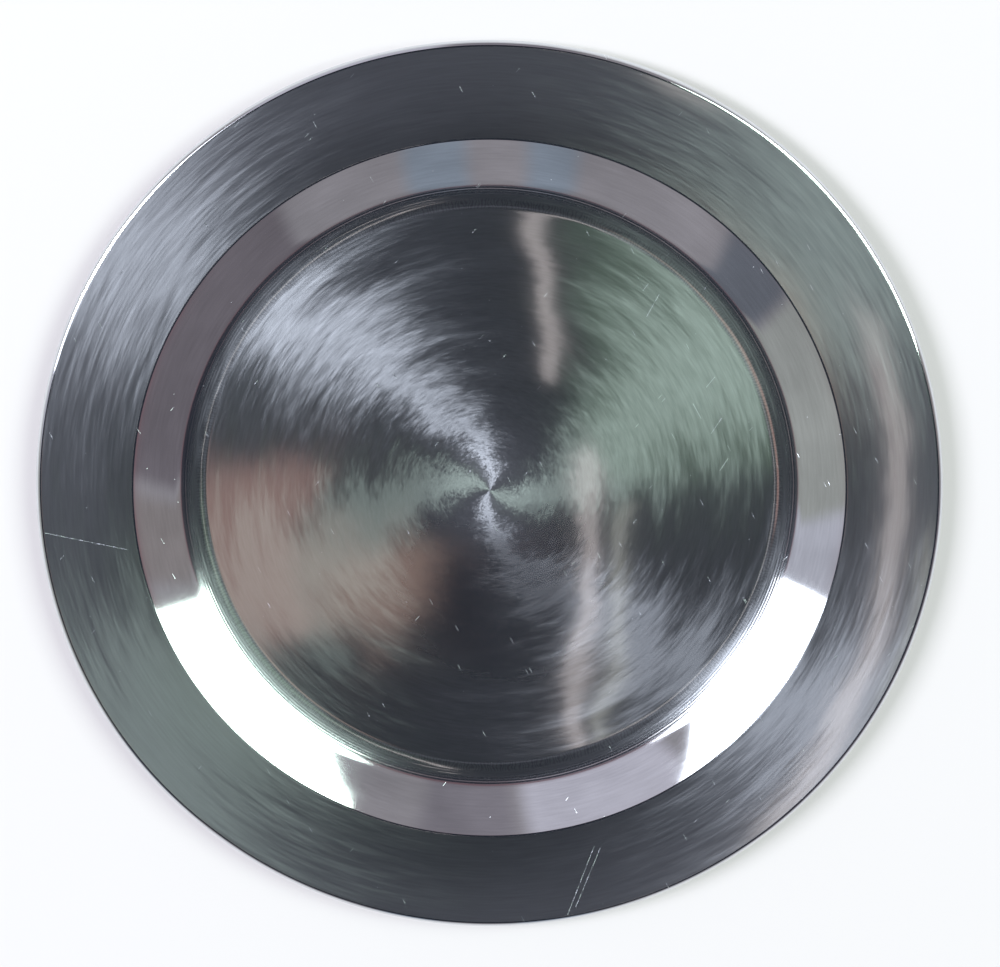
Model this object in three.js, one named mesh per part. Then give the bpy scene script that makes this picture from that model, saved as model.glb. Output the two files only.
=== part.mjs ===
// A round paten plate, pressed from one sheet of stainless steel: a flat base, a
// rounded foot, a sloping wall, a broad rim that is nearly level, and a small lip
// where the edge is rolled down. Millimetres, +Z up. The plate lies on its base and
// the origin is under its centre.

import * as THREE from 'three';

// Driving dimensions. Radii from the axis and bend radii are those of the sheet's
// middle surface.
const plateRadius = 110;     // to the outermost point of the lip
const sheetThickness = 0.8;
const baseRadius = 69;       // where the flat base ends
const rimInnerRadius = 87;   // where the rim begins, just outside the shoulder bend
const footBend = 18;         // concave bend between base and wall
const shoulderBend = 1.5;    // convex bend between wall and rim
const lipBend = 1.0;         // convex bend between rim and lip

const degrees = Math.PI / 180;
const wallFootSlope = 26 * degrees;   // the wall is slightly domed: it leaves the
const wallTopSlope = 22 * degrees;    // foot steeper than it meets the shoulder
const rimSlope = 4 * degrees;
const lipSlope = -90 * degrees;

// Facets: steps around the axis, and the largest turn within one step of a tight
// bend and of the domed wall.
const roundSteps = 72;
const bendStep = 12 * degrees;
const wallStep = 1.5 * degrees;
const lipSteps = 4;

// The middle surface is walked outward from the axis. Each station holds a place
// (radius, height) and the slope of the sheet there.
function startSheet() {
  return [{ radius: 0, height: sheetThickness / 2, slope: 0 }];
}

// A straight stretch that ends at the given radius.
function straightTo(stations, radius) {
  const { radius: fromRadius, height, slope } = stations.at(-1);
  const rise = (radius - fromRadius) * Math.tan(slope);
  stations.push({ radius, height: height + rise, slope });
}

// A round bend from the current slope to a new one.
function bendTo(stations, bendRadius, newSlope, largestStep = bendStep) {
  const { radius, height, slope } = stations.at(-1);
  const turn = newSlope - slope;
  const side = Math.sign(turn);
  const steps = Math.ceil(Math.abs(turn) / largestStep);
  for (let step = 1; step <= steps; step += 1) {
    const angle = slope + (turn * step) / steps;
    stations.push({
      radius: radius + side * bendRadius * (Math.sin(angle) - Math.sin(slope)),
      height: height + side * bendRadius * (Math.cos(slope) - Math.cos(angle)),
      slope: angle,
    });
  }
}

// How far outward a bend carries the sheet.
function bendRun(bendRadius, fromSlope, toSlope) {
  return bendRadius * Math.abs(Math.sin(toSlope) - Math.sin(fromSlope));
}

// The bend of the domed wall, which fills the room between the foot and the shoulder.
function wallBend(footEnd, shoulderStart) {
  return (shoulderStart - footEnd) / bendRun(1, wallFootSlope, wallTopSlope);
}

function middleSurface() {
  const shoulderStart = rimInnerRadius - bendRun(shoulderBend, wallTopSlope, rimSlope);
  const lipCentre = plateRadius - sheetThickness / 2;
  const stations = startSheet();
  straightTo(stations, baseRadius);
  bendTo(stations, footBend, wallFootSlope);
  bendTo(stations, wallBend(stations.at(-1).radius, shoulderStart), wallTopSlope, wallStep);
  bendTo(stations, shoulderBend, rimSlope);
  straightTo(stations, lipCentre - bendRun(lipBend, rimSlope, lipSlope));
  bendTo(stations, lipBend, lipSlope);
  return stations;
}

// The point at a distance from a station, in a direction measured from outward.
function pointFrom({ radius, height }, distance, direction) {
  return new THREE.Vector2(
    radius + distance * Math.cos(direction),
    height + distance * Math.sin(direction),
  );
}

// The sheet's section: the underside outward, around the lip, and the top surface
// back to the axis.
function sheetSection() {
  const half = sheetThickness / 2;
  const quarterTurn = Math.PI / 2;
  const stations = middleSurface();
  const underside = stations.map((at) => pointFrom(at, half, at.slope - quarterTurn));
  const topSurface = stations.map((at) => pointFrom(at, half, at.slope + quarterTurn));
  const end = stations.at(-1);
  const lip = [];
  for (let step = 1; step < lipSteps; step += 1) {
    const direction = end.slope - quarterTurn + (Math.PI * step) / lipSteps;
    lip.push(pointFrom(end, half, direction));
  }
  return [...underside, ...lip, ...topSurface.reverse()];
}

function brushedSteel() {
  return new THREE.MeshStandardMaterial({ color: 0x8b8f96, roughness: 0.28, metalness: 1 });
}

// LatheGeometry turns a section around Y, so the mesh is tipped to bring that axis
// to +Z.
function patenPlate() {
  const geometry = new THREE.LatheGeometry(sheetSection(), roundSteps);
  const mesh = new THREE.Mesh(geometry, brushedSteel());
  mesh.name = 'paten_plate';
  mesh.rotation.x = Math.PI / 2;
  return mesh;
}

const paten = new THREE.Group();
paten.add(patenPlate());

export default paten;
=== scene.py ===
"""Looks for the paten plate: a fine mesh of the pressed sheet, brushed and polished
steel, a pale floor and a soft studio. Metres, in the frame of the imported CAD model:
+Z is the plate's axis and the plate lies on z = 0.
"""

import math

import bpy
from mathutils import Matrix, Vector


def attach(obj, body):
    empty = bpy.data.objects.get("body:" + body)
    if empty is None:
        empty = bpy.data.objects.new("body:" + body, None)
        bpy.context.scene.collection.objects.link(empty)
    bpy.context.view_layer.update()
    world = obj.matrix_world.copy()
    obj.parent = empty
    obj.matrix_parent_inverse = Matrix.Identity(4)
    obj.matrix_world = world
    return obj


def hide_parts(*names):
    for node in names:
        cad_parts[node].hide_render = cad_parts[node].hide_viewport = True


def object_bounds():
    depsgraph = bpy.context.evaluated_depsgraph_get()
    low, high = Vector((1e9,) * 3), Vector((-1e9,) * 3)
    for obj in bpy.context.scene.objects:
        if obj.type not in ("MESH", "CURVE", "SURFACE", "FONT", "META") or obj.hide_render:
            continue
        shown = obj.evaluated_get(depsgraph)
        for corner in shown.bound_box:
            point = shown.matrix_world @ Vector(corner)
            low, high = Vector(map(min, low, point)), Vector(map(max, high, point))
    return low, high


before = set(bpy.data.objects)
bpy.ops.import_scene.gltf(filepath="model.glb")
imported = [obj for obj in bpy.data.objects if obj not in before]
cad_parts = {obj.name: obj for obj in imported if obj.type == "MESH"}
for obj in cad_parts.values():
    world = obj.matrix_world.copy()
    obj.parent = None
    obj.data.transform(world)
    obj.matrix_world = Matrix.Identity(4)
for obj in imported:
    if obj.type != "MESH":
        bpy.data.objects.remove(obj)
cad_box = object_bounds()

MM = 0.001
PLATE_NODE = "paten_plate"

# The sheet's section. Radii are those of its middle surface.
PLATE_RADIUS = cad_box[1].x
SHEET = 0.8 * MM
BASE_RADIUS = 69 * MM
RIM_INNER_RADIUS = 87 * MM
FOOT_BEND = 18 * MM
SHOULDER_BEND = 1.5 * MM
LIP_BEND = 1.0 * MM
WALL_FOOT_SLOPE = math.radians(26)
WALL_TOP_SLOPE = math.radians(22)
RIM_SLOPE = math.radians(4)
LIP_SLOPE = math.radians(-90)

# Facets of the fine mesh.
ROUND_STEPS = 360
BEND_STEP = math.radians(3)
WALL_STEP = math.radians(0.5)
LIP_STEP = math.radians(15)
RING_PITCH = 4 * MM


# ---------------------------------------------------------------- the plate's mesh

def straight_to(stations, radius):
    """A straight stretch, in even steps, that ends at the given radius."""
    start, height, slope = stations[-1]
    steps = max(1, round((radius - start) / RING_PITCH))
    for step in range(1, steps + 1):
        at = start + (radius - start) * step / steps
        stations.append((at, height + (at - start) * math.tan(slope), slope))


def bend_to(stations, bend, slope, largest_step=BEND_STEP):
    """A round bend of the middle surface to a new slope."""
    radius, height, before = stations[-1]
    side = math.copysign(1, slope - before)
    steps = math.ceil(abs(slope - before) / largest_step)
    for step in range(1, steps + 1):
        angle = before + (slope - before) * step / steps
        stations.append((
            radius + side * bend * (math.sin(angle) - math.sin(before)),
            height + side * bend * (math.cos(before) - math.cos(angle)),
            angle,
        ))


def bend_run(bend, before, slope):
    """How far outward a bend carries the sheet."""
    return bend * abs(math.sin(slope) - math.sin(before))


def middle_surface():
    """(radius, height, slope) along the sheet, from the axis to the lip."""
    shoulder_start = RIM_INNER_RADIUS - bend_run(SHOULDER_BEND, WALL_TOP_SLOPE, RIM_SLOPE)
    lip_centre = PLATE_RADIUS - SHEET / 2
    stations = [(0, SHEET / 2, 0)]
    straight_to(stations, BASE_RADIUS)
    bend_to(stations, FOOT_BEND, WALL_FOOT_SLOPE)
    wall_bend = (shoulder_start - stations[-1][0]) / bend_run(1, WALL_FOOT_SLOPE, WALL_TOP_SLOPE)
    bend_to(stations, wall_bend, WALL_TOP_SLOPE, WALL_STEP)
    bend_to(stations, SHOULDER_BEND, RIM_SLOPE)
    straight_to(stations, lip_centre - bend_run(LIP_BEND, RIM_SLOPE, LIP_SLOPE))
    bend_to(stations, LIP_BEND, LIP_SLOPE, LIP_STEP)
    return stations


def sheet_section():
    """(radius, height, direction of the outward normal) from the axis along the
    underside, round the lip and along the top surface back to the axis."""
    stations = middle_surface()
    quarter = math.pi / 2
    under = [(radius, height, slope - quarter) for radius, height, slope in stations]
    top = [(radius, height, slope + quarter) for radius, height, slope in reversed(stations)]
    end_radius, end_height, end_slope = stations[-1]
    turns = round(math.pi / LIP_STEP)
    lip = [
        (end_radius, end_height, end_slope - quarter + LIP_STEP * turn)
        for turn in range(1, turns)
    ]
    return [
        (radius + SHEET / 2 * math.cos(outward), height + SHEET / 2 * math.sin(outward), outward)
        for radius, height, outward in under + lip + top
    ]


def turned_mesh(name, section):
    """A surface of revolution about Z with exact normals. The first and the last
    point of the section are on the axis."""
    rings = section[1:-1]
    angles = [2 * math.pi * step / ROUND_STEPS for step in range(ROUND_STEPS)]
    vertices = [(0, 0, section[0][1])]
    normals = [(0, 0, math.copysign(1, math.sin(section[0][2])))]
    for radius, height, outward in rings:
        out, up = math.cos(outward), math.sin(outward)
        for angle in angles:
            cosine, sine = math.cos(angle), math.sin(angle)
            vertices.append((radius * cosine, radius * sine, height))
            normals.append((out * cosine, out * sine, up))
    vertices.append((0, 0, section[-1][1]))
    normals.append((0, 0, math.copysign(1, math.sin(section[-1][2]))))

    last_ring = len(rings) - 1
    last = len(vertices) - 1

    def corner(ring, step):
        return 1 + ring * ROUND_STEPS + step % ROUND_STEPS

    faces = []
    for step in range(ROUND_STEPS):
        faces.append((0, corner(0, step + 1), corner(0, step)))
        faces.append((corner(last_ring, step), corner(last_ring, step + 1), last))
        for ring in range(last_ring):
            faces.append((corner(ring, step), corner(ring, step + 1),
                          corner(ring + 1, step + 1), corner(ring + 1, step)))

    mesh = bpy.data.meshes.new(name)
    mesh.from_pydata(vertices, [], faces)
    mesh.polygons.foreach_set("use_smooth", [True] * len(faces))
    mesh.normals_split_custom_set_from_vertices(normals)
    mesh.validate()
    plate = bpy.data.objects.new(name, mesh)
    bpy.context.scene.collection.objects.link(plate)
    return plate


# ---------------------------------------------------------------- steel

class Nodes:
    """A few short calls for building a node tree."""

    def __init__(self, tree):
        self.tree = tree

    def add(self, kind, inputs=(), **settings):
        node = self.tree.nodes.new(kind)
        for setting, value in settings.items():
            setattr(node, setting, value)
        for socket, value in dict(inputs).items():
            self.feed(node.inputs[socket], value)
        return node

    def feed(self, socket, value):
        if isinstance(value, bpy.types.NodeSocket):
            self.tree.links.new(value, socket)
        else:
            socket.default_value = value

    def math(self, operation, *values):
        node = self.add("ShaderNodeMath", enumerate(values), operation=operation)
        return node.outputs[0]

    def vector(self, operation, *values):
        node = self.add("ShaderNodeVectorMath", enumerate(values), operation=operation)
        return node.outputs[0]

    def scaled(self, vector, factor):
        node = self.add("ShaderNodeVectorMath", {"Vector": vector, "Scale": factor},
                        operation="SCALE")
        return node.outputs[0]

    def noise(self, vector, scale=1, detail=2, rough=0.5):
        node = self.add("ShaderNodeTexNoise",
                        {"Vector": vector, "Scale": scale, "Detail": detail, "Roughness": rough})
        return node.outputs["Fac"]

    def step(self, value, low, high):
        """0 below low, 1 above high, and a smooth rise between them."""
        node = self.add("ShaderNodeMapRange", {"Value": value, "From Min": low, "From Max": high},
                        interpolation_type="SMOOTHSTEP")
        return node.outputs["Result"]

    def remap(self, value, to_low, to_high):
        """A value between 0 and 1 brought between two others."""
        node = self.add("ShaderNodeMapRange",
                        {"Value": value, "To Min": to_low, "To Max": to_high})
        return node.outputs["Result"]

    def mix(self, share, first, second):
        """Two colours, the second by its share."""
        node = self.add("ShaderNodeMix", data_type="RGBA")
        for socket, value in zip((0, 6, 7), (share, first, second)):
            self.feed(node.inputs[socket], value)
        return node.outputs[2]


def new_material(name):
    """A material, its nodes and its principled shader."""
    material = bpy.data.materials.new(name)
    material.use_nodes = True
    return material, Nodes(material.node_tree), material.node_tree.nodes["Principled BSDF"]


class Turned:
    """Nodes that know where a point is on the turned sheet."""

    def __init__(self, nodes):
        self.nodes = nodes
        self.place = nodes.add("ShaderNodeTexCoord").outputs["Object"]
        flat = nodes.vector("MULTIPLY", self.place, (1, 1, 0))
        length = nodes.add("ShaderNodeVectorMath", {0: flat}, operation="LENGTH")
        self.radius = length.outputs["Value"]
        self.outward = nodes.vector("NORMALIZE", flat)
        self.around = nodes.vector("CROSS_PRODUCT", (0, 0, 1), self.outward)

    def rings(self, pitch, turns, detail=2, shift=0):
        """Noise drawn out along circles, about -1 to 1: pitch is its grain across the
        circles, and 1 / turns radians is its grain along them."""
        nodes = self.nodes
        along = nodes.scaled(self.outward, turns)
        across = nodes.math("DIVIDE", self.radius, pitch)
        lifted = nodes.add("ShaderNodeCombineXYZ", {"Z": nodes.math("ADD", across, shift)})
        place = nodes.vector("ADD", along, lifted.outputs[0])
        return nodes.remap(nodes.noise(place, 1, detail), -1, 1)

    def swell(self, size, slope, shift):
        """A slow change of slope over the sheet, between -slope and slope."""
        nodes = self.nodes
        place = nodes.vector("ADD", self.place, (shift, 0, 0))
        return nodes.remap(nodes.noise(place, 1 / size, 1), -slope, slope)

    def tipped_normal(self, across_slope, around_slope):
        """The surface's normal tipped across the grooves and along them."""
        nodes = self.nodes
        normal = nodes.add("ShaderNodeNewGeometry").outputs["Normal"]
        across = nodes.vector("CROSS_PRODUCT", self.around, normal)
        tipped = nodes.vector("ADD", normal, nodes.scaled(across, across_slope))
        tipped = nodes.vector("ADD", tipped, nodes.scaled(self.around, around_slope))
        return nodes.vector("NORMALIZE", tipped)

    def on_base(self, blend):
        """1 on the flat base, falling to 0 over a little more than the blend."""
        return self.nodes.step(self.radius, BASE_RADIUS + blend, BASE_RADIUS - 1 * MM)

    def on_top(self):
        """1 on the side that faces up, 0 underneath."""
        normal = self.nodes.add("ShaderNodeNewGeometry").outputs["Normal"]
        upward = self.nodes.add("ShaderNodeSeparateXYZ", {0: normal}).outputs["Z"]
        return self.nodes.math("GREATER_THAN", upward, 0)

    def groove_axis(self, turn):
        """The direction across the grooves, turned in the sheet by so many degrees."""
        nodes = self.nodes
        across = nodes.vector("CROSS_PRODUCT", self.around, (0, 0, 1))
        turned = nodes.add("ShaderNodeVectorRotate",
                           {"Vector": across, "Angle": nodes.math("RADIANS", turn)},
                           rotation_type="Z_AXIS")
        return turned.outputs[0]


def within(nodes, value, low, high, soft):
    """1 between low and high, 0 outside, with soft edges."""
    return nodes.math("MULTIPLY", nodes.step(value, low - soft, low + soft),
                      nodes.step(value, high + soft, high - soft))


def groove_turn(nodes, sheet, marks):
    """How far the grooves lean out of the circles, in degrees. They swirl in towards
    the axis on the base, and they wander everywhere: in broad bundles, in strands and
    in fine strays, which spread most near the axis. On a mark they lie anyhow."""
    swirl, swirl_at_axis, swirl_size = 7, 70, 20 * MM
    bundles_on_rim, bundles_on_base = 9, 17
    strands_on_rim, strands_on_base = 8, 12
    strays_everywhere, strays_at_axis, middle_size = 11, 30, 9 * MM
    mark_grain, mark_turn = 1.5 * MM, 300

    on_base = sheet.on_base(3 * MM)
    lean = nodes.math("EXPONENT", nodes.math("DIVIDE", sheet.radius, -swirl_size))
    swirl = nodes.math("MULTIPLY_ADD", lean, swirl_at_axis, swirl)
    swirl = nodes.math("MULTIPLY", swirl, on_base)
    bundles = sheet.rings(6 * MM, turns=1.7, detail=1, shift=9)
    bundles = nodes.math("MULTIPLY", bundles, nodes.remap(on_base, bundles_on_rim, bundles_on_base))
    strands = sheet.rings(1.6 * MM, turns=4, detail=1, shift=30)
    strands = nodes.math("MULTIPLY", strands, nodes.remap(on_base, strands_on_rim, strands_on_base))
    middle = nodes.math("EXPONENT", nodes.math("DIVIDE", sheet.radius, -middle_size))
    spread = nodes.math("MULTIPLY_ADD", middle, strays_at_axis, strays_everywhere)
    strays = nodes.math("MULTIPLY", sheet.rings(0.45 * MM, turns=11, detail=1, shift=60), spread)
    turn = nodes.math("ADD", nodes.math("ADD", swirl, bundles), nodes.math("ADD", strands, strays))
    anyhow = nodes.remap(nodes.noise(sheet.place, 1 / mark_grain, 0), -mark_turn, mark_turn)
    return nodes.math("MULTIPLY_ADD", marks, anyhow, turn)


def scattered(nodes, place, angle, size, spacing, kept):
    """Small marks strewn over the sheet: 1 on a mark. size is (length, width), and kept
    is the share of the places that have one."""
    turned = nodes.add("ShaderNodeVectorRotate",
                       {"Vector": place, "Angle": math.radians(angle)}, rotation_type="Z_AXIS")
    length, width = size
    stretch = (1 / spacing, length / width / spacing, 1 / spacing)
    spread = nodes.vector("MULTIPLY", turned.outputs[0], stretch)
    cells = nodes.add("ShaderNodeTexVoronoi", {"Vector": spread, "Scale": 1},
                      voronoi_dimensions="2D")
    near = nodes.step(cells.outputs["Distance"], length / spacing / 2, length / spacing / 4)
    chance = nodes.add("ShaderNodeSeparateXYZ", {0: cells.outputs["Color"]}).outputs[0]
    return nodes.math("MULTIPLY", near, nodes.math("LESS_THAN", chance, kept))


def scratch(nodes, place, start, end, width):
    """One straight scratch between two points (x, y): 1 on the scratch."""
    start, end = Vector((*start, 0)) * MM, Vector((*end, 0)) * MM
    along = end - start
    flat = nodes.vector("MULTIPLY", place, (1, 1, 0))
    offset = nodes.vector("SUBTRACT", flat, tuple(start))
    reach = nodes.add("ShaderNodeVectorMath", {0: offset, 1: tuple(along)},
                      operation="DOT_PRODUCT").outputs["Value"]
    share = nodes.add("ShaderNodeClamp", {0: nodes.math("DIVIDE", reach, along.length_squared)})
    nearest = nodes.add("ShaderNodeVectorMath", {"Vector": tuple(along), "Scale": share.outputs[0]},
                        operation="SCALE").outputs[0]
    gap = nodes.add("ShaderNodeVectorMath", {0: offset, 1: nearest}, operation="DISTANCE")
    return nodes.step(gap.outputs["Value"], width, width / 2)


# Specks and nicks strewn over the sheet: their direction in degrees, then length, width
# and spacing in millimetres, and the share of the places that have one.
STREWN = (
    (0, 0.3, 0.3, 7, 0.14),
    (62, 2.2, 0.2, 9, 0.016),
    (-48, 1.8, 0.2, 9, 0.012),
)
# Single scratches that stand out: start and end (x, y) in millimetres.
SCRATCHES = (
    ((-108, -9), (-88, -13.5)),
    ((26, -89), (19.5, -106.5)),
    ((27.5, -89.5), (21.5, -104.5)),
    ((41, 48.5), (38, 43)),
    ((38.3, 51), (37.1, 49.4)),
    ((54.7, 28.2), (52.7, 25.7)),
    ((49.5, 21.6), (51.5, 18)),
    ((56.5, 18), (54, 14.2)),
    ((58.2, 8), (56.3, 5)),
)
SCRATCH_WIDTH = 0.11 * MM


def wear_marks(nodes, sheet):
    """Specks, nicks and scratches: 1 on a mark."""
    found = [
        scattered(nodes, sheet.place, angle, (length * MM, width * MM), spacing * MM, share)
        for angle, length, width, spacing, share in STREWN
    ]
    found += [scratch(nodes, sheet.place, *ends, SCRATCH_WIDTH) for ends in SCRATCHES]
    marks = found[0]
    for more in found[1:]:
        marks = nodes.math("MAXIMUM", marks, more)
    return marks


# Where the grooves of the base are taken to be worn smooth, which is a guess:
# (x, y, radius) in millimetres.
SMOOTH_SPOTS = ((3, -24, 19),)


def worn_smooth(nodes, sheet):
    """1 where the grooves are worn away, with ragged soft edges."""
    soft, raggedness = 9 * MM, 5 * MM
    ragged = nodes.math("MULTIPLY", sheet.rings(2 * MM, turns=5, detail=1, shift=300), raggedness)
    found = 0
    for x, y, radius in SMOOTH_SPOTS:
        gap = nodes.add("ShaderNodeVectorMath", {0: sheet.place, 1: (x * MM, y * MM, 0)},
                        operation="DISTANCE").outputs["Value"]
        reach = nodes.math("ADD", gap, ragged)
        spot = nodes.step(reach, radius * MM + soft, radius * MM - soft)
        found = nodes.math("MAXIMUM", spot, found)
    return nodes.math("MULTIPLY", found, sheet.on_top())


def tool_ticks(nodes, sheet):
    """Fine radial ticks that the forming tool left around the foot: 1 on a tick."""
    count, unevenness = 560, 9
    trough, crest = -0.2, 0.9
    band_start, band_end, band_blend = 69.4 * MM, 71.6 * MM, 0.5 * MM
    x, y, _ = nodes.add("ShaderNodeSeparateXYZ", {0: sheet.place}).outputs
    angle = nodes.math("ARCTAN2", y, x)
    shake = nodes.math("MULTIPLY", sheet.rings(2 * MM, turns=40, detail=1, shift=200), unevenness)
    wave = nodes.math("SINE", nodes.math("MULTIPLY_ADD", angle, count, shake))
    band = within(nodes, sheet.radius, band_start, band_end, band_blend)
    return nodes.math("MULTIPLY", nodes.step(wave, trough, crest), band)


def tool_rings(nodes, sheet):
    """Slope of the fine rings that the forming tool left between foot and wall."""
    pitch, steepest = 0.62 * MM, 0.07
    band_start, band_end, band_blend = 71.8 * MM, 74.6 * MM, 0.5 * MM
    phase = nodes.math("MULTIPLY", sheet.radius, 2 * math.pi / pitch)
    depth = within(nodes, sheet.radius, band_start, band_end, band_blend)
    wave = nodes.math("MULTIPLY", nodes.math("SINE", phase), depth)
    return nodes.math("MULTIPLY", wave, steepest)


# The steel's colour, and how much darker or lighter each thing makes it.
STEEL_TINT = (0.53, 0.56, 0.60)
TONE_ON_RIM, TONE_ON_BASE = 0.73, 0.86
TONE_BRUSHED, TONE_BUFFED = 0.62, 1.5
TONE_OF_LINES = 0.17
TONE_OF_TICKS = -0.25
# The marks are real scratches and specks; this lighter tone on them is a painted glint, the light
# they catch.
PAINTED_GLINT_ON_MARKS = 0.3

# Its roughness.
ROUGH_ON_RIM, ROUGH_ON_BASE = 0.305, 0.285
ROUGH_OF_LINES = 0.008
ROUGH_NEAR_AXIS = 0.11
ROUGH_WHERE_WORN = 0.68
ROUGH_BUFFED = 0.07
ROUGH_MARKS = 0.42

# Its brushed lines are fine ones and this much of broader streaks.
STREAK_SHARE = 0.6

# Its slopes: slow waves in the sheet, ripples in its skin, and the grooves.
WAVE_SIZE = 26 * MM
WAVE_ON_BASE, WAVE_ON_RIM = 0.007, 0.003
RIPPLE_PITCH = 0.9 * MM
RIPPLE_ACROSS, RIPPLE_AROUND = 0.0015, 0.001
GROOVE_BRUSHED, GROOVE_BUFFED = 0.03, 0.002


def buffed_bands(nodes, sheet):
    """1 on the wall and the lip, which are buffed bright."""
    foot_start, wall_start, wall_end = 72 * MM, 76.5 * MM, RIM_INNER_RADIUS - 0.6 * MM
    lip_start, lip_full = PLATE_RADIUS - 1.5 * MM, PLATE_RADIUS - 1.1 * MM
    wall = nodes.math("MULTIPLY", nodes.step(sheet.radius, foot_start, wall_start),
                      nodes.step(sheet.radius, RIM_INNER_RADIUS, wall_end))
    lip = nodes.step(sheet.radius, lip_start, lip_full)
    return nodes.math("MAXIMUM", wall, lip)


def steel_colour(nodes, sheet, line, buffed, marks):
    """The tint, lighter or darker by region, along the brushed lines and on the ticks,
    and lighter on the real scratches and specks by a painted glint."""
    ticks = nodes.math("MULTIPLY", tool_ticks(nodes, sheet), TONE_OF_TICKS)
    tone = nodes.math("MULTIPLY_ADD", line, TONE_OF_LINES, nodes.math("ADD", ticks, 1))
    region = nodes.math("MULTIPLY",
                        nodes.remap(sheet.on_base(2 * MM), TONE_ON_RIM, TONE_ON_BASE),
                        nodes.remap(buffed, TONE_BRUSHED, TONE_BUFFED))
    tone = nodes.math("MULTIPLY", tone, region)
    # Lighter on the marks: a painted glint.
    tone = nodes.math("MULTIPLY_ADD", marks, PAINTED_GLINT_ON_MARKS, tone)
    return nodes.scaled(STEEL_TINT, tone)


def steel_roughness(nodes, sheet, line, buffed, marks):
    """Rougher on the rim and near the axis, smoother where worn and where buffed."""
    near_axis, off_axis = 3 * MM, 17 * MM
    region = nodes.remap(sheet.on_base(2 * MM), ROUGH_ON_RIM, ROUGH_ON_BASE)
    rough = nodes.math("MULTIPLY_ADD", line, ROUGH_OF_LINES, region)
    worn = nodes.remap(worn_smooth(nodes, sheet), 1, ROUGH_WHERE_WORN)
    rough = nodes.math("MULTIPLY", rough, worn)
    middle = nodes.step(sheet.radius, off_axis, near_axis)
    rough = nodes.math("MULTIPLY_ADD", middle, ROUGH_NEAR_AXIS, rough)
    rough = nodes.add("ShaderNodeMix", {0: buffed, 2: rough, 3: ROUGH_BUFFED}).outputs[0]
    return nodes.add("ShaderNodeMix", {0: marks, 2: rough, 3: ROUGH_MARKS}).outputs[0]


def steel_slopes(nodes, sheet):
    """How far the mirror between the grooves tips across them and along them."""
    on_rim = nodes.step(sheet.radius, RIM_INNER_RADIUS - 1 * MM, RIM_INNER_RADIUS)
    wave = nodes.remap(on_rim, WAVE_ON_BASE, WAVE_ON_RIM)
    wave_across = nodes.math("MULTIPLY", sheet.swell(WAVE_SIZE, 1, shift=1), wave)
    wave_around = nodes.math("MULTIPLY", sheet.swell(WAVE_SIZE, 1, shift=2), wave)
    ripple_across = sheet.rings(RIPPLE_PITCH, turns=9, detail=1, shift=70)
    ripple_around = sheet.rings(RIPPLE_PITCH, turns=12, detail=1, shift=90)
    across = nodes.math("MULTIPLY_ADD", ripple_across, RIPPLE_ACROSS, wave_across)
    across = nodes.math("ADD", across, tool_rings(nodes, sheet))
    around = nodes.math("MULTIPLY_ADD", ripple_around, RIPPLE_AROUND, wave_around)
    return across, around


def brushed_steel():
    """Stainless steel brushed in circles, and buffed bright on the wall and the lip.
    The coat is the mirror that is left between the grooves."""
    material, nodes, shader = new_material("brushed_steel")
    sheet = Turned(nodes)
    buffed = buffed_bands(nodes, sheet)
    marks = nodes.math("MULTIPLY", wear_marks(nodes, sheet), sheet.on_top())
    fine = sheet.rings(0.45 * MM, turns=12)
    streak = sheet.rings(1.1 * MM, turns=6, shift=50)
    line = nodes.math("MULTIPLY_ADD", streak, STREAK_SHARE, fine)
    across, around = steel_slopes(nodes, sheet)
    groove = nodes.math("MULTIPLY", line, nodes.remap(buffed, GROOVE_BRUSHED, GROOVE_BUFFED))
    groove_across = nodes.math("ADD", groove, across)
    looks = {
        "Base Color": steel_colour(nodes, sheet, line, buffed, marks),
        "Roughness": steel_roughness(nodes, sheet, line, buffed, marks),
        "Tangent": sheet.groove_axis(groove_turn(nodes, sheet, marks)),
        "Normal": sheet.tipped_normal(groove_across, around),
        "Coat Normal": sheet.tipped_normal(across, around),
        "Metallic": 1,
        "Anisotropic": 0.86,
        "Coat Weight": 1,
        "Coat Roughness": 0.045,
        "Coat IOR": 3.5,
    }
    for socket, value in looks.items():
        nodes.feed(shader.inputs[socket], value)
    return material


# ---------------------------------------------------------------- the plate

def make_plate():
    plate = turned_mesh("plate", sheet_section())
    plate.data.materials.append(brushed_steel())
    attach(plate, "root")
    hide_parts(PLATE_NODE)


# ---------------------------------------------------------------- the studio

def direction(towards_x, towards_y):
    """The direction so many degrees off the plate's axis towards +X and towards +Y."""
    x, y = math.tan(math.radians(towards_x)), math.tan(math.radians(towards_y))
    return Vector((x, y, 1)).normalized()


def make_camera():
    """The camera stands 12.5 degrees off the plate's axis, over its +Y edge, with +Y
    upward in the picture."""
    tilt, turn = math.radians(12.5), math.radians(1.75)
    distance = 780 * MM
    aside = Vector((2.6, 3.4, 0)) * MM
    data = bpy.data.cameras.new("camera")
    data.sensor_width = 36
    data.lens = 115.9
    camera = bpy.data.objects.new("camera", data)
    bpy.context.scene.collection.objects.link(camera)
    centre = Vector((0, 0, cad_box[1].z))
    aim = centre + aside
    away = Vector((math.sin(tilt) * math.sin(turn), math.sin(tilt) * math.cos(turn), math.cos(tilt)))
    camera.location = centre + away * distance
    back = (camera.location - aim).normalized()
    right = Vector((0, 1, 0)).cross(back).normalized()
    up = back.cross(right)
    turned = Matrix((right, up, back)).transposed().to_4x4()
    camera.matrix_world = Matrix.Translation(camera.location) @ turned
    bpy.context.scene.camera = camera


def stage_sheet(name, corners, looks):
    """A four-cornered sheet of one plain material, which isn't part of the plate."""
    mesh = bpy.data.meshes.new(name)
    mesh.from_pydata(corners, [], [(0, 1, 2, 3)])
    sheet = bpy.data.objects.new(name, mesh)
    bpy.context.scene.collection.objects.link(sheet)
    material, nodes, shader = new_material(name)
    for socket, value in looks.items():
        nodes.feed(shader.inputs[socket], value)
    mesh.materials.append(material)


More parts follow.
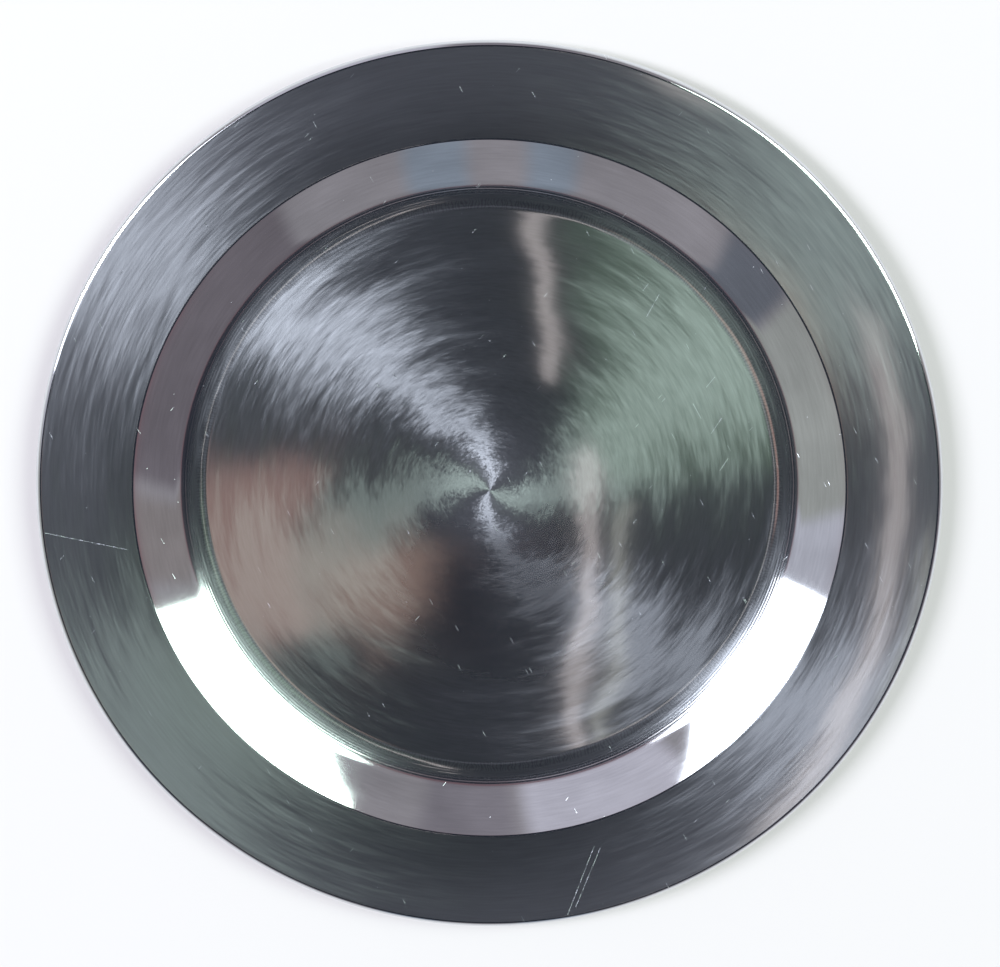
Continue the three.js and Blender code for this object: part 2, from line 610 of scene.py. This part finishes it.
def make_floor():
    size = 6
    corners = [(-size, -size, 0), (size, -size, 0), (size, size, 0), (-size, size, 0)]
    looks = {
        "Base Color": (0.33, 0.31, 0.32, 1),
        "Roughness": 0.9,
        "Emission Color": (0.97, 0.98, 1, 1),
        "Emission Strength": 0.3,
    }
    stage_sheet("floor", corners, looks)


# The lights: name, direction, distance, width and height in metres, colour, and
# brightness as a mirror sees it.
SOFTBOXES = (
    ("left_softbox", (-37, 12.3), 3.0, 1.22, 1.54, (0.89, 0.92, 1.0), 3.2),
    ("left_softbox_core", (-37, 12.3), 2.95, 0.55, 1.38, (0.89, 0.92, 1.0), 34),
    ("right_softbox", (33.9, 16.6), 3.0, 1.46, 1.54, (0.84, 1.0, 0.87), 11),
)
# An area light of one square metre needs this power for a brightness of 1.
POWER_PER_AREA = 4


def make_softbox(name, towards, distance, width, height, colour, brightness):
    """A rectangular light that faces the plate."""
    data = bpy.data.lights.new(name, "AREA")
    data.shape = "RECTANGLE"
    data.size, data.size_y = width, height
    data.color = colour
    data.energy = brightness * width * height * POWER_PER_AREA
    light = bpy.data.objects.new(name, data)
    bpy.context.scene.collection.objects.link(light)
    back = direction(*towards)
    light.location = back * distance
    light.rotation_mode = "QUATERNION"
    light.rotation_quaternion = (-back).to_track_quat("-Z", "Y")
    light.visible_camera = False


# Narrow pale reflectors high over the plate: two ends (x, y) in metres, width, colour.
STRIPS = (
    ((0.031, -0.302), (0.020, -0.05), 0.015, (0.50, 0.40, 0.38)),
    ((0.045, -0.80), (0.060, -0.363), 0.015, (0.50, 0.40, 0.38)),
    ((0.073, -0.66), (0.090, -0.40), 0.010, (0.20, 0.21, 0.12)),
)
STRIP_HEIGHT = 1.8


def make_strip(name, start, end, width, colour):
    """One of the narrow reflectors, facing down. It glows by itself."""
    (x0, y0), (x1, y1) = start, end
    outline = [(x1, y1), (x1 + width, y1), (x0 + width, y0), (x0, y0)]
    corners = [(x, y, STRIP_HEIGHT) for x, y in outline]
    stage_sheet(name, corners, {"Emission Color": (*colour, 1), "Emission Strength": 1})


# The room as the plate's wall mirrors it: (degrees around from +X, half its width in
# degrees, colour).
ROOM = (
    (-170, 22, (0.39, 0.40, 0.38)),
    (-140, 7, (0.16, 0.17, 0.20)),
    (-82, 5, (0.27, 0.31, 0.37)),
    (-101, 4, (0.27, 0.31, 0.37)),
    (-27, 28, (0.18, 0.16, 0.18)),
    (12, 8, (0.28, 0.25, 0.25)),
    (87, 7, (0.25, 0.23, 0.26)),
    (109, 13, (0.60, 0.58, 0.66)),
    (165, 8, (0.55, 0.55, 0.62)),
)
# The rest of the room, and the paler part low down.
ROOM_COLOUR = (0.32, 0.30, 0.32)
LOW_DOWN_COLOUR = (0.75, 0.75, 0.77)

# A place in the room is (x, y): the tangents of its angles off the plate's axis
# towards +X and +Y. The part behind the camera is dark, with a reddish edge: its
# centre, then (radius, colour) from the edge inward.
BEHIND_CAMERA = (0, -0.34)
BEHIND_RINGS = (
    (0.77, (0.28, 0.15, 0.17)),
    (0.74, (0.016, 0.022, 0.034)),
)
# A faint patch that the middle of the base mirrors: (centre, radius, soft edge,
# colour).
FAINT_PATCH = ((-0.007, -0.222), 0.022, 0.016, (0.11, 0.12, 0.155))
# Warm and green cards that the base mirrors: (left, right, low, high, soft edge,
# colour).
CARDS = (
    (-0.12, -0.062, -0.275, -0.209, 0.006, (0.6, 0.36, 0.32)),
    (-0.062, -0.027, -0.272, -0.232, 0.009, (0.58, 0.40, 0.34)),
    (0.022, 0.12, -0.215, -0.12, 0.006, (0.14, 0.22, 0.16)),
)


def card(nodes, x, y, edges, soft):
    """1 on an upright rectangle of the room: edges is (left, right, low, high)."""
    left, right, low, high = edges
    return nodes.math("MULTIPLY", within(nodes, x, left, right, soft),
                      within(nodes, y, low, high, soft))


def disc(nodes, place, centre, radius, soft):
    """1 on a round patch of the room."""
    away = nodes.vector("SUBTRACT", place, (*centre, 0))
    far = nodes.add("ShaderNodeVectorMath", {0: away}, operation="LENGTH").outputs["Value"]
    return nodes.step(far, radius + soft, radius - soft)


def sector(nodes, x, y, middle, half, soft=2):
    """1 where the wall mirrors the room within half of the middle angle, in degrees
    around the dark part."""
    raised = nodes.math("SUBTRACT", y, BEHIND_CAMERA[1])
    angle = nodes.math("DEGREES", nodes.math("ARCTAN2", raised, x))
    away = nodes.math("WRAP", nodes.math("SUBTRACT", angle, middle), 180, -180)
    return nodes.step(nodes.math("ABSOLUTE", away), half + soft, half - soft)


def make_world():
    """The room: pale low down, grey higher up, and dark behind the camera."""
    darkest, lightest, mottle_scale = 0.7, 1.3, 7
    low_down, higher_up, horizon = 0.3, 0.5, 0.001
    world = bpy.data.worlds.new("room")
    bpy.context.scene.world = world
    world.use_nodes = True
    nodes = Nodes(world.node_tree)
    towards = nodes.add("ShaderNodeTexCoord").outputs["Generated"]
    parts = nodes.add("ShaderNodeSeparateXYZ", {0: towards}).outputs
    height = nodes.math("MAXIMUM", parts["Z"], horizon)
    x = nodes.math("DIVIDE", parts["X"], height)
    y = nodes.math("DIVIDE", parts["Y"], height)
    place = nodes.add("ShaderNodeCombineXYZ", {"X": x, "Y": y}).outputs[0]

    colour = (*ROOM_COLOUR, 1)
    for middle, half, tone in ROOM:
        colour = nodes.mix(sector(nodes, x, y, middle, half), colour, (*tone, 1))
    mottle = nodes.remap(nodes.noise(towards, mottle_scale, detail=3), darkest, lightest)
    colour = nodes.scaled(colour, mottle)
    raised = nodes.step(parts["Z"], low_down, higher_up)
    colour = nodes.mix(raised, (*LOW_DOWN_COLOUR, 1), colour)
    for radius, tone in BEHIND_RINGS:
        ring = disc(nodes, place, BEHIND_CAMERA, radius, soft=0.01)
        colour = nodes.mix(ring, colour, (*tone, 1))
    centre, radius, soft, tone = FAINT_PATCH
    colour = nodes.mix(disc(nodes, place, centre, radius, soft), colour, (*tone, 1))
    for *edges, soft, tone in CARDS:
        colour = nodes.mix(card(nodes, x, y, edges, soft), colour, (*tone, 1))
    background = world.node_tree.nodes["Background"]
    nodes.feed(background.inputs["Color"], colour)


make_plate()
make_camera()
make_floor()
for light in SOFTBOXES:
    make_softbox(*light)
for number, strip in enumerate(STRIPS):
    make_strip(f"strip_{number}", *strip)
make_world()
bpy.context.scene.view_settings.view_transform = "Standard"
